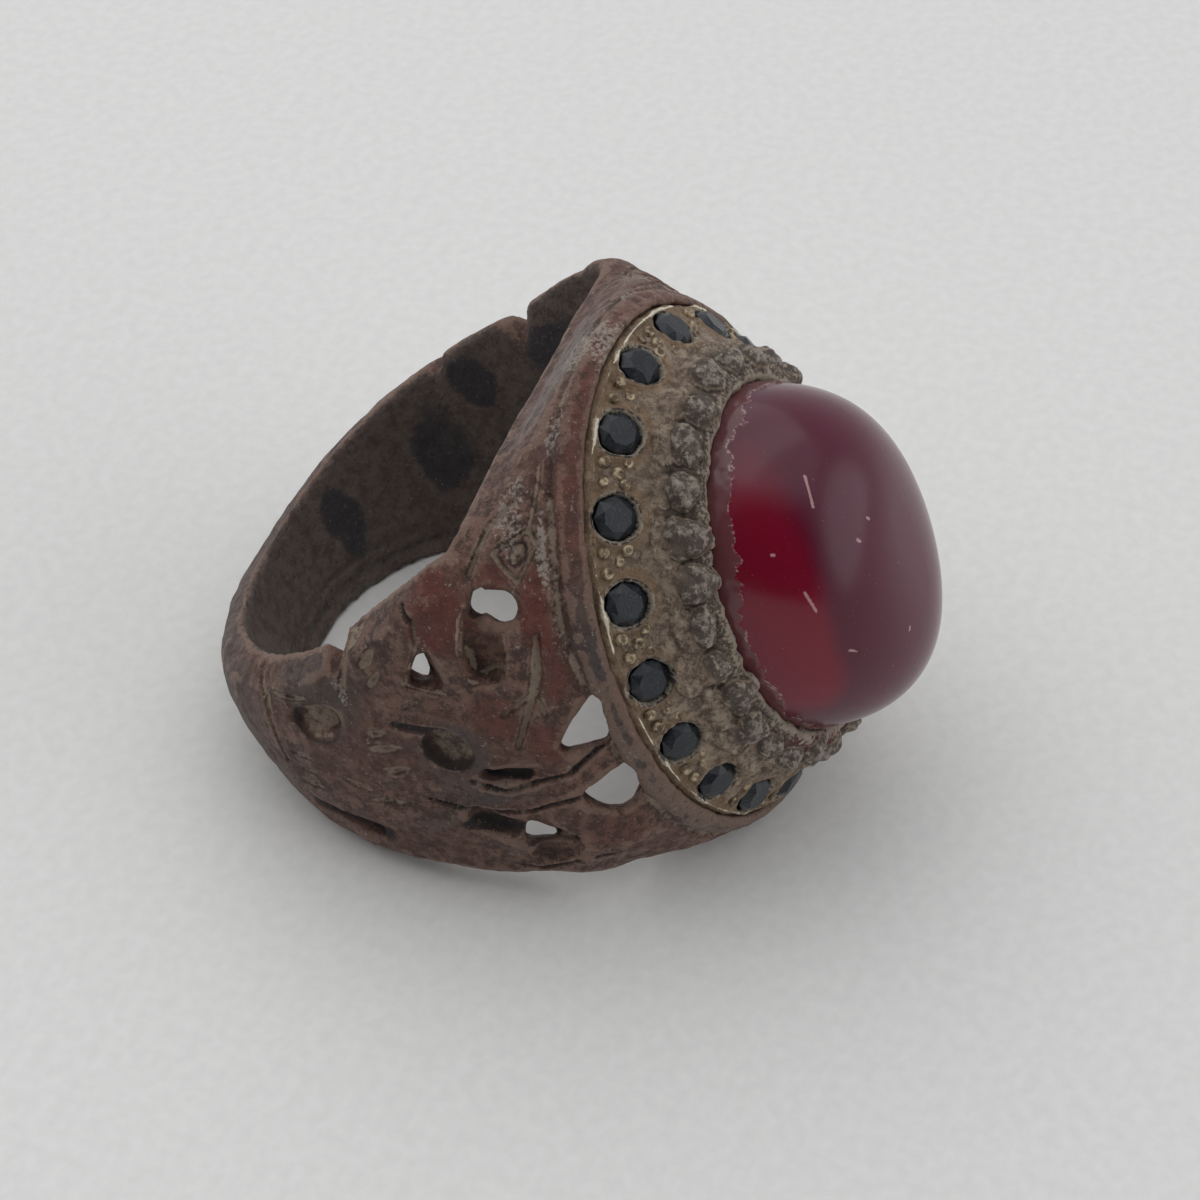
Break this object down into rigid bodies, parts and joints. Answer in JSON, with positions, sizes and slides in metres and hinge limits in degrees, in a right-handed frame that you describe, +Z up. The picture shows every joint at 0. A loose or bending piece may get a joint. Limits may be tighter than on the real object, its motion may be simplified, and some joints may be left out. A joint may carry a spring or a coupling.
{
  "type": "cabochon dress ring",
  "caption": "Finger ring with a wide cast shank, pierced shoulders and a hollow oval head that holds a tall oval cabochon in bead claws, ringed by small faceted stones.",
  "frame": {"origin": "middle of the footprint on the floor, under the ring as it lies", "axes": "+Z up; +X across the finger hole; the finger hole runs along Y and Z, leaning; the head faces -Y and is tilted up"},
  "size_m": [0.023, 0.0304, 0.0212],
  "materials": {
    "copper_alloy": "worn, pitted cast copper alloy with dark tarnish",
    "gilt_brass": "worn brass under dull dirt, gilt left at the edge",
    "red_glass": "polished, lightly scratched dark red glass",
    "dark_glass": "faceted near-black blue glass, chipped"
  },
  "bodies": {
    "root": {"ring_body": "copper_alloy", "setting": "gilt_brass", "main_stone": "red_glass", "accent_stone_1": "dark_glass", "accent_stone_2": "dark_glass", "accent_stone_3": "dark_glass", "accent_stone_4": "dark_glass", "accent_stone_5": "dark_glass", "accent_stone_6": "dark_glass", "accent_stone_7": "dark_glass", "accent_stone_8": "dark_glass", "accent_stone_9": "dark_glass", "accent_stone_10": "dark_glass", "accent_stone_11": "dark_glass", "accent_stone_12": "dark_glass", "accent_stone_13": "dark_glass", "accent_stone_14": "dark_glass", "accent_stone_15": "dark_glass", "accent_stone_16": "dark_glass", "accent_stone_17": "dark_glass", "accent_stone_18": "dark_glass"}
  },
  "joints": []
}
